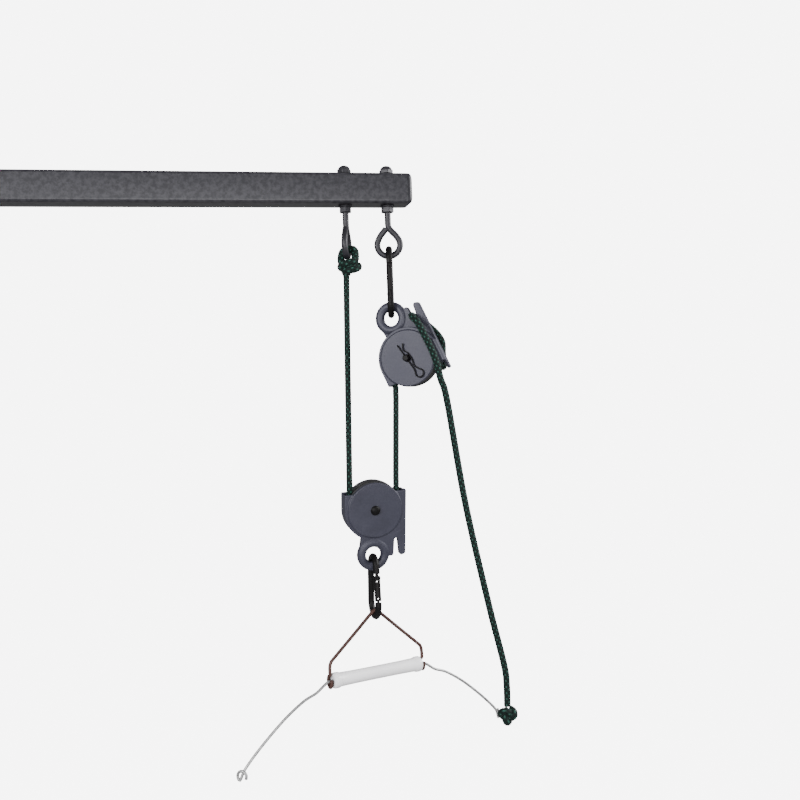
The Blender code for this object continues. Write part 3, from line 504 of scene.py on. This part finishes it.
tailRoute = [(0.6164, -0.0555, -0.3822), (0.6243, -0.0550, -0.4126), (0.6324, -0.0520, -0.4415),
             (0.6523, -0.0470, -0.5697), (0.6779, -0.0450, -0.6958), (0.6946, -0.0450, -0.7708),
             (0.6972, -0.0450, -0.7985), (0.6970, -0.0450, -0.8235)]


def fallStart(side):
    return lowerPlace @ Vector((side * sheavePitch, 0, 0.0320)) + Vector((0, 0, 0.0060))


def lowerWrapRoute():
    inside = [(-sheavePitch, 0, height) for height in (0.0260, 0.0160, 0.0080)]
    inside += [(x, 0, z) for x, z in arcPoints((0, 0), sheavePitch, 180, 360, 20)]
    inside += [(sheavePitch, 0, height) for height in (0.0080, 0.0160, 0.0260)]
    world = [lowerPlace @ Vector(point) for point in inside]
    first = (world[0] + 2 * (lowerPlace @ Vector((-sheavePitch, 0, 0.0320))) + fallStart(-1)) / 4
    last = (world[-1] + 2 * (lowerPlace @ Vector((sheavePitch, 0, 0.0320))) + fallStart(1)) / 4
    return [fallStart(-1), first] + world + [last, fallStart(1)]


def upperWrapRoute():
    plumb = upperPlace.inverted().to_3x3() @ Vector((0, 0, -1))
    mouth = [Vector(point) for point in lipRoute]
    path = [mouth[0] + plumb * 0.0140, mouth[0] + plumb * 0.0060] + mouth
    path += [Vector((x, 0, z)) for x, z in arcPoints((0, 0), sheavePitch, 180, 360, 18)]
    return [upperPlace @ point for point in path] + [upperPlace @ Vector(point) for point in jawLoop]


def evenly(points, spacing):  # dense points at an even spacing along a smooth route
    dense = np.array([tuple(p) for p in smoothRoute(points, spacing / 2)])
    along = np.concatenate([[0], np.cumsum(np.linalg.norm(np.diff(dense, axis=0), axis=1))])
    count = max(2, round(along[-1] / spacing))
    wanted = np.linspace(0, along[-1], count + 1)
    return np.stack([np.interp(wanted, along, dense[:, axis]) for axis in range(3)], axis=1), wanted


def carriedFrames(points, first):  # a side direction carried along the line without twisting
    ahead = np.gradient(points, axis=0)
    ahead /= np.linalg.norm(ahead, axis=1)[:, None]
    side = np.array(first, float)
    sides = []
    for direction in ahead:
        side = side - direction * side.dot(direction)
        side /= np.linalg.norm(side)
        sides.append(side)
    sides = np.array(sides)
    return sides, np.cross(ahead, sides)


def braidPiece(name, points, startLength, firstSide, radiusShare=None, ends=(0, 0)):
    v = ropeSet
    centres, along = evenly(points, v["ring"])
    sides, ups = carriedFrames(centres, firstSide)
    theta = np.linspace(0, 2 * math.pi, v["around"], endpoint=False)[None, :]
    run = (along + startLength)[:, None] / v["pitch"]
    one = v["carriers"] * theta / (2 * math.pi) + run
    two = v["carriers"] * theta / (2 * math.pi) - run
    onTop = (np.floor(one) + np.floor(two)) % 2 == 0
    acrossOne, acrossTwo = np.sin(math.pi * (one % 1)), np.sin(math.pi * (two % 1))
    width = np.where(onTop, acrossOne, acrossTwo)
    length = np.where(onTop, acrossTwo, acrossOne)
    strand = width ** 0.6 * (0.45 + 0.55 * length ** 0.8)
    which = np.where(onTop, np.floor(one) % v["carriers"], 20 + np.floor(two) % v["carriers"])
    fleck = np.isin(which, (0, 2, 4, 6)).astype(float) * np.clip(strand * 1.5 - 0.4, 0, 1)
    share = np.ones(len(along)) if radiusShare is None else radiusShare(along, along[-1])
    radius = v["radius"] * share[:, None] * (1 - v["relief"] * (1 - strand))
    ring = (sides[:, None, :] * np.cos(theta)[..., None] + ups[:, None, :] * np.sin(theta)[..., None])
    verts = (centres[:, None, :] + ring * radius[..., None]).reshape(-1, 3)
    count, rows = v["around"], len(along)
    base = (np.arange(rows - 1)[:, None] * count + np.arange(count)[None, :])
    after = (np.arange(rows - 1)[:, None] * count + (np.arange(count)[None, :] + 1) % count)
    faces = np.stack([base, after, after + count, base + count], axis=-1).reshape(-1, 4).tolist()
    verts = verts.tolist() + [centres[0].tolist(), centres[-1].tolist()]
    first, last = len(verts) - 2, len(verts) - 1
    for spoke in range(count):
        faces.append((first, (spoke + 1) % count, spoke))
        faces.append((last, (rows - 1) * count + spoke, (rows - 1) * count + (spoke + 1) % count))
    mesh = bpy.data.meshes.new(name)
    mesh.from_pydata(verts, [], faces)
    for label, values in (("strand", strand), ("fleck", fleck)):
        attribute = mesh.attributes.new(label, "FLOAT", "POINT")
        attribute.data.foreach_set("value", np.append(values.reshape(-1), (0.4, 0.4)).astype(np.float32))
    work = bmesh.new()
    work.from_mesh(mesh)
    bmesh.ops.recalc_face_normals(work, faces=work.faces)
    work.to_mesh(mesh)
    work.free()
    mesh.shade_smooth()
    made = linked(name, mesh, greenBraid)
    return made, startLength + along[-1], sides[-1], [tuple(p) for p in centres[::6]] + [tuple(centres[-1])]


def jawPinch(along, total):  # squeezed where the rope goes through the jaw, at the wrap's end
    near = np.clip((total - along) / 0.008, 0, 1)
    return 0.66 + 0.34 * near * near * (3 - 2 * near)


def tailPinch(along, total):
    near = np.clip(along / 0.007, 0, 1)
    return 0.60 + 0.50 * near * near * (3 - 2 * near)


def knotSwell(along, total):
    return np.full(len(along), 1.28)


def knotFill(along, total):
    return np.full(len(along), 1.75)


leftTop, leftLow = knotFoot, fallStart(-1)
leftFall, length, side, _ = braidPiece("leftFall", [leftTop, leftLow], 0.0, (1, 0, 0))
lowerWrap, length, side, _ = braidPiece("lowerWrap", lowerWrapRoute(), length, side)
upperRoute = upperWrapRoute()
rightFall, length, side, _ = braidPiece("rightFall", [fallStart(1), upperRoute[0]], length, side)
upperWrap, length, side, _ = braidPiece("upperWrap", upperRoute, length, side, jawPinch)
tailPoints = [upperPlace @ Vector(point) for point in tailStart] + [Vector(point) for point in tailRoute]
tail, tailEnd, side, tailLine = braidPiece("tailRope", tailPoints, length, side, tailPinch)

for piece, top, low in ((leftFall, leftTop, leftLow), (rightFall, upperRoute[0], fallStart(1))):
    node = "rope_left_fall" if piece is leftFall else "rope_right_fall"
    settle(piece, "frame", "green_braid", node)
    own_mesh(piece)
settle(lowerWrap, "lower_block", "green_braid", "rope_lower_wrap")
settle(upperWrap, "frame", "green_braid", "rope_upper_wrap")
settle(tail, "frame", "green_braid", "rope_tail")

# the knot grips the inner eye's wire: over it, down both sides, then two turns round itself
eyeKnotSet = {"yaw": 71.0, "route": [
    (-0.0018, 0.0000, -0.0246), (-0.0040, -0.0030, -0.0180), (-0.0078, -0.0030, -0.0080),
    (-0.0084, 0.0000, 0.0000),
    (-0.0060, 0.0010, 0.0066), (0.0006, 0.0014, 0.0092), (0.0076, 0.0008, 0.0078), (0.0094, 0.0000, 0.0010),
    (0.0090, -0.0040, -0.0058), (0.0048, -0.0082, -0.0086), (-0.0024, -0.0092, -0.0104),
    (-0.0078, -0.0060, -0.0128),
    (-0.0086, 0.0006, -0.0136), (-0.0050, 0.0078, -0.0116), (0.0030, 0.0096, -0.0104),
    (0.0104, 0.0060, -0.0112),
    (0.0122, -0.0010, -0.0142), (0.0090, -0.0082, -0.0170), (0.0020, -0.0096, -0.0182),
    (-0.0040, -0.0050, -0.0180),
    (0.0010, 0.0030, -0.0160)], "core": [(0.0000, 0.0, -0.0044), (0.0026, 0.0, -0.0120),
                                         (0.0034, 0.0, -0.0190)]}


def eyeKnot(v):
    turn = shift(boltX[0] + 0.0012, 0, eyeZ - eyeRadius) @ turnZ(v["yaw"] - 90)
    route = [turn @ Vector(point) for point in v["route"]]
    core = [turn @ Vector(point) for point in v["core"]]
    made = braidPiece("eyeKnot", route, 0.0, (1, 0, 0), knotSwell)[0]
    fill = braidPiece("eyeKnotCore", core, 0.0, (1, 0, 0), knotFill)[0]
    work = bmesh.new()
    work.from_mesh(made.data)
    work.from_mesh(fill.data)
    work.to_mesh(made.data)
    work.free()
    made.data.shade_smooth()
    bpy.data.objects.remove(fill, do_unlink=True)
    return made


settle(eyeKnot(eyeKnotSet), "frame", "green_braid", "rope_eye_knot")


def endKnot(scale):  # an overhand knot closed up on itself
    end = Vector(tailRoute[-1]) - Vector((0, 0, 0.0112))
    route = []
    for step in range(41):
        t = math.radians(96 + step * 348 / 40)
        route.append(end + Vector((math.sin(t) + 2 * math.sin(2 * t), -math.sin(3 * t) * 1.5,
                                   math.cos(t) - 2 * math.cos(2 * t))) * scale)
    return braidPiece("endKnot", route, 0.0, (0, 1, 0), knotSwell)[0]


knotAtEnd = settle(endKnot(0.0027), "frame", "green_braid", "rope_end_knot")
print("rope laid, tail", round(tailEnd - length, 3), "m")


# arm

armSet = {"tube": 0.0381, "wall": 0.0021, "corner": 0.0042, "top": -0.152, "from": -0.031, "to": 0.600,
          "capLip": 0.0065, "capRound": 0.0052}


def roundedSquare(side, corner, steps):
    reach = side / 2 - corner
    points = []
    for turn, (sy, sz) in enumerate(((1, 1), (-1, 1), (-1, -1), (1, -1))):
        points += arcPoints((sy * reach, sz * reach), corner, 90 * turn, 90 * turn + 90, steps)
    return points


def joinRings(name, rings, material, closed, sharp=50):
    mesh = bpy.data.meshes.new(name)
    count = len(rings[0])
    verts = [point for ring in rings for point in ring]
    faces = []
    last = len(rings) if closed else len(rings) - 1
    for row in range(last):
        near, far = row * count, (row + 1) % len(rings) * count
        faces += [(near + i, near + (i + 1) % count, far + (i + 1) % count, far + i) for i in range(count)]
    if not closed:
        faces += [tuple(range(count)), tuple((len(rings) - 1) * count + i for i in range(count))]
    mesh.from_pydata(verts, [], faces)
    made = linked(name, mesh, material)
    fixFaces(mesh, sharp)
    return made


def armTube(v):
    middle = v["top"] - v["tube"] / 2
    outer = roundedSquare(v["tube"], v["corner"], 10)
    inner = roundedSquare(v["tube"] - 2 * v["wall"], v["corner"] - v["wall"], 10)
    rings = []
    for x, loop in ((v["from"], outer), (v["to"], outer), (v["to"], inner), (v["from"], inner)):
        rings.append([(x, y, middle + z) for y, z in loop])
    return joinRings("armTube", rings, armPaint, True)


def armCap(name, v, spot, way):
    middle = v["top"] - v["tube"] / 2
    size = v["tube"] - 0.0002
    rings = [[(spot + way * 0.0003, y, middle + z) for y, z in roundedSquare(size, v["corner"], 8)]]
    for step in range(9):
        angle = math.radians(90 * step / 8)
        inset = v["capRound"] * (1 - math.cos(angle))
        out = v["capLip"] - v["capRound"] * (1 - math.sin(angle))
        loop = roundedSquare(size - 2 * inset, v["corner"] + 0.0012 * math.sin(angle), 8)
        rings.append([(spot + way * out, y, middle + z) for y, z in loop])
    return joinRings(name, rings, armPaint, False, 60)


settle(armTube(armSet), "frame", "gunmetal_paint", "arm_tube")
settle(armCap("armEndCap", armSet, armSet["to"], 1), "frame", "gunmetal_paint", "arm_end_cap")
settle(armCap("armBackCap", armSet, armSet["from"], -1), "frame", "gunmetal_paint", "arm_back_cap")
print("arm made")


# eye bolts and their nuts

boltSet = {"wire": 0.0079, "yaw": (71.0, -12.0), "shankTop": -0.1435}


def eyeBolt(name, v, number):
    neck = [(0, 0, 0.0330), (0, 0, 0.0270), (0.0006, 0, 0.0222), (0.0036, 0, 0.0178), (0.0080, 0, 0.0132)]
    ring = [(x, 0, z) for x, z in arcPoints((0, 0), eyeRadius, 38, -212, 11)]
    tuck = [(-0.0096, 0, 0.0122), (-0.0055, 0, 0.0172), (-0.0027, 0, 0.0205)]
    place = shift(boltX[number], 0, eyeZ) @ turnZ(v["yaw"][number])
    route = [Vector((0, 0, v["shankTop"] - eyeZ))] + smoothRoute(neck + ring + tuck, 0.0012)
    return wirePiece(name, [place @ point for point in route], v["wire"], boltPaint, 28)


for number, label in enumerate(("inner", "outer")):
    settle(eyeBolt(label + "EyeBolt", boltSet, number), "frame", "gunmetal_paint", "eye_bolt_" + label)
    for title, node, voxel, passes in (("DomeNut", "dome_nut_", 0.00028, 5),
                                       ("HexNut", "hex_nut_", 0.00026, 3),
                                       ("TopWasher", "top_washer_", 0.00024, 3),
                                       ("BottomWasher", "bottom_washer_", 0.00024, 3)):
        settle(softCopy(label + title, node + label, voxel, passes, boltPaint), "frame", "gunmetal_paint",
               node + label)
print("eye bolts made")


# snap links

for label, body, gateBody in (("upper", "frame", "upper_gate"), ("lower", "lower_link", "lower_gate")):
    settle(softCopy(label + "LinkBody", label + "_link_body", 0.00034, 9, linkSteel), body,
           "oiled_dark_steel",
           label + "_link_body")
    settle(softCopy(label + "LinkGate", label + "_link_gate", 0.00026, 2, linkSteel), gateBody,
           "oiled_dark_steel",
           label + "_link_gate")
print("snap links made")


# pulley blocks

sheaveSet = {"radius": 0.0358, "half": 0.0066, "bore": 0.0063, "groove": 0.0047}
clipSet = {"wire": 0.0017, "leg": 0.0200, "run": 0.0250, "loop": 0.0052, "turn": 10.0, "depth": 0.01455,
           "beside": 0.00535}


def sheavePiece(name, v, place):
    half, radius = v["half"], v["radius"]
    profile = [(v["bore"], half), (0.0118, half), (0.0124, half - 0.0006), (0.0130, half - 0.0012)]
    profile += [(0.0245, half - 0.0012), (0.0252, half - 0.0005), (0.0260, half)]
    profile += [(radius - 0.0006, half), (radius - 0.0002, half - 0.0002), (radius, half - 0.0007)]
    profile += arcPoints((sheavePitch, 0), v["groove"], 62, 298, 20)
    profile += [(r, -h) for r, h in reversed(profile[:10])]
    return turnedPiece(name, profile, nylonBlack, place @ turnX(90), 96)


def hairpinClip(name, v, place):
    beside, run = v["beside"], v["run"]
    path = [(0, 0, -v["leg"]), (0, 0, 0), (0, 0, run - 0.009), (-0.0010, 0, run - 0.0045)]
    path += [(x, 0, z) for x, z in arcPoints((beside / 2, run), v["loop"], 190, -10, 8)]
    path += [(beside - 0.0005, 0, run - 0.0055), (beside * 0.55, 0, run - 0.0100)]
    path += [(beside * 0.62, 0, 0.0105), (beside * 0.95, 0, 0.0050), (beside, 0, 0.0)]
    path += [(beside * 0.93, 0, -0.0050), (beside * 0.55, 0, -0.0095), (beside * 0.75, 0, -0.0135)]
    path += [(beside * 1.35, 0, -0.0175)]
    seat = place @ shift(0, v["depth"], 0) @ turnY(v["turn"])
    return wirePiece(name, [seat @ point for point in smoothRoute(path, 0.0012)], v["wire"], linkSteel, 14)


for label, body, place in (("upper", "frame", upperPlace), ("lower", "lower_block", lowerPlace)):
    settle(softCopy(label + "Casting", label + "_block_body", 0.00055, 4, castPaint), body, "painted_casting",
           label + "_block_body")
    settle(sheavePiece(label + "Sheave", sheaveSet, place), label + "_sheave_wheel", "black_nylon",
           label + "_sheave")
    settle(softCopy(label + "ClevisPin", label + "_clevis_pin", 0.00030, 3, linkSteel), body,
           "oiled_dark_steel",
           label + "_clevis_pin")
    settle(hairpinClip(label + "HairpinClip", clipSet, place), body, "oiled_dark_steel",
           label + "_hairpin_clip")
print("blocks made")


# hanger, grip and bail

hangerSet = {"wire": 0.0044, "half": 0.0672, "yaw": 20.0, "drop": 0.0778, "footHeight": 0.0076,
             "footWidth": 0.0045, "apex": 0.0071}
gripSet = {"radius": 0.0083, "flare": 0.0098, "bore": 0.0026, "length": 0.0641}
bailSet = {"wire": 0.0035}
hangerPlace = shift(*jointPlace["hanger_swing"]) @ turnZ(hangerSet["yaw"])
axleZ = hangerSet["apex"] - hangerSet["drop"]
axlePlace = hangerPlace @ shift(0, 0, axleZ)


def mirroredRoute(side):
    return [(-x, y, z) for x, y, z in reversed(side[1:])] + side


def hangerWire(v):
    apex, half = v["apex"], v["half"]
    outline = [(0.0, apex), (0.0035, apex - 0.0009), (0.0075, apex - 0.0042), (half / 2, apex - 0.0270)]
    outline += [(half - 0.0070, apex - 0.0500), (half - 0.0020, apex - 0.0550),
                (half - 0.0003, apex - 0.0605)]
    outline += [(half, axleZ + v["footHeight"])]
    side = [(x, 0.0, z) for x, z in outline]
    for degrees in range(40, 286, 35):
        angle = math.radians(degrees)
        side.append((half, v["footWidth"] * math.sin(angle), axleZ + v["footHeight"] * math.cos(angle)))
    route = smoothRoute(mirroredRoute(side), 0.0014)
    return wirePiece("hangerWire", [hangerPlace @ point for point in route], v["wire"], wireBrown, 18)


def gripTube(v):
    end, flare, radius, bore = v["length"], v["flare"], v["radius"], v["bore"]
    profile = [(bore, end - 0.0004), (bore + 0.0004, end), (flare - 0.0034, end),
               (flare - 0.0018, end - 0.0003)]
    profile += [(flare - 0.0007, end - 0.0011), (flare - 0.0001, end - 0.0024), (flare, end - 0.0045)]
    profile += [(flare - 0.0001, end - 0.0080), (flare - 0.0007, end - 0.0094),
                (radius + 0.0004, end - 0.0104)]
    profile += [(radius + 0.0002, end - 0.0200), (radius, end - 0.0300), (radius - 0.0001, 0.0100)]
    profile += [(r, -h) for r, h in reversed(profile)]
    return turnedPiece("gripTube", profile, gripWhite, axlePlace @ turnY(90), 64, 60)


def bailWire(v):
    side = [(0.0, 0.0), (0.030, 0.0), (0.0656, 0.0), (0.0672, 0.0), (0.0700, -0.0002), (0.0765, -0.0042)]
    side += [(0.087, -0.0112)]
    side += [(0.104, -0.0178), (0.128, -0.0330), (0.152, -0.0525), (0.170, -0.0690), (0.183, -0.0830)]
    side = [(x, 0.0, z) for x, z in side]
    for degrees in range(30, 301, 45):
        angle = math.radians(degrees - 90)
        side.append((0.1865 + 0.0036 * math.cos(angle), 0.0048 * math.cos(angle),
                     -0.0895 + 0.0060 * math.sin(angle)))
    route = smoothRoute(mirroredRoute(side), 0.0020)
    return wirePiece("bailWire", [axlePlace @ point for point in route], v["wire"], wireGalvanised, 16)


settle(hangerWire(hangerSet), "hanger", "brown_coated_wire", "hanger_wire")
settle(gripTube(gripSet), "grip", "white_plastic", "grip_tube")
settle(bailWire(bailSet), "bail", "galvanised_wire", "bail_axle", "bail_arm_right", "bail_arm_left")
print("hanger, grip and bail made")


# solids kept as they are, with their finish

keptFinish = {"ceiling_plate": armPaint, "drop_post": armPaint, "bracket_gusset": armPaint,
              "upper_sheave_bush": bushBronze, "lower_sheave_bush": bushBronze,
              "upper_gate_spring": linkSteel, "lower_gate_spring": linkSteel,
              "upper_gate_rivet": linkSteel, "lower_gate_rivet": linkSteel}
for node, material in keptFinish.items():
    for number in range(len(nodes[node].material_slots)):
        nodes[node].material_slots[number].material = material


# studio: a pale floor a room's height below the ceiling, a white surround, soft lamps at the front

studioSet = {"floor": -2.40, "pale": (0.62, 0.62, 0.625), "ambient": 0.30, "seen": 7.0}


def studio(v):
    mesh = bpy.data.meshes.new("studioFloor")
    corners = [(-6, -6), (7, -6), (7, 6), (-6, 6)]
    mesh.from_pydata([(x, y, v["floor"]) for x, y in corners], [], [(0, 1, 2, 3)])
    paper = bpy.data.materials.new("palePaper")
    paper.use_nodes = True
    shader = paper.node_tree.nodes["Principled BSDF"]
    shader.inputs["Base Color"].default_value = (*v["pale"], 1.0)
    shader.inputs["Roughness"].default_value = 0.9
    shader.inputs["Emission Color"].default_value = (1.0, 1.0, 1.0, 1.0)
    seen = paper.node_tree.nodes.new("ShaderNodeLightPath").outputs["Is Camera Ray"]
    glow = mathNode(paper.node_tree, "MULTIPLY", seen, v["seen"] - 0.20)
    paper.node_tree.links.new(glow, shader.inputs["Emission Strength"])
    linked("studioFloor", mesh, paper)
    world = bpy.data.worlds.new("softWorld")
    world.use_nodes = True
    tree = world.node_tree
    room = tree.nodes["Background"]
    room.inputs["Color"].default_value = (0.97, 0.98, 1.0, 1.0)
    room.inputs["Strength"].default_value = v["ambient"]
    sweep = tree.nodes.new("ShaderNodeBackground")
    sweep.inputs["Color"].default_value = (1.0, 1.0, 1.0, 1.0)
    sweep.inputs["Strength"].default_value = v["seen"]
    choose = tree.nodes.new("ShaderNodeMixShader")
    tree.links.new(tree.nodes.new("ShaderNodeLightPath").outputs["Is Camera Ray"], choose.inputs["Fac"])
    tree.links.new(room.outputs["Background"], choose.inputs[1])
    tree.links.new(sweep.outputs["Background"], choose.inputs[2])
    tree.links.new(choose.outputs["Shader"], tree.nodes["World Output"].inputs["Surface"])
    bpy.context.scene.world = world


lightSet = {"key": ((-1.1, -1.5, 0.2), 0.9, 56.0), "side": ((2.2, -0.3, 0.2), 1.0, 56.0),
            "front": ((0.4, -2.3, -0.6), 1.4, 44.0)}


def softLight(name, place, size, power):
    data = bpy.data.lights.new(name, "AREA")
    data.shape = "DISK"
    data.size = size
    data.energy = power
    light = bpy.data.objects.new(name, data)
    light.location = place
    aim = Vector((0.50, 0, -0.45)) - Vector(place)
    light.rotation_euler = aim.to_track_quat("-Z", "Y").to_euler()
    bpy.context.scene.collection.objects.link(light)


studio(studioSet)
for name, (place, size, power) in lightSet.items():
    softLight(name, place, size, power)
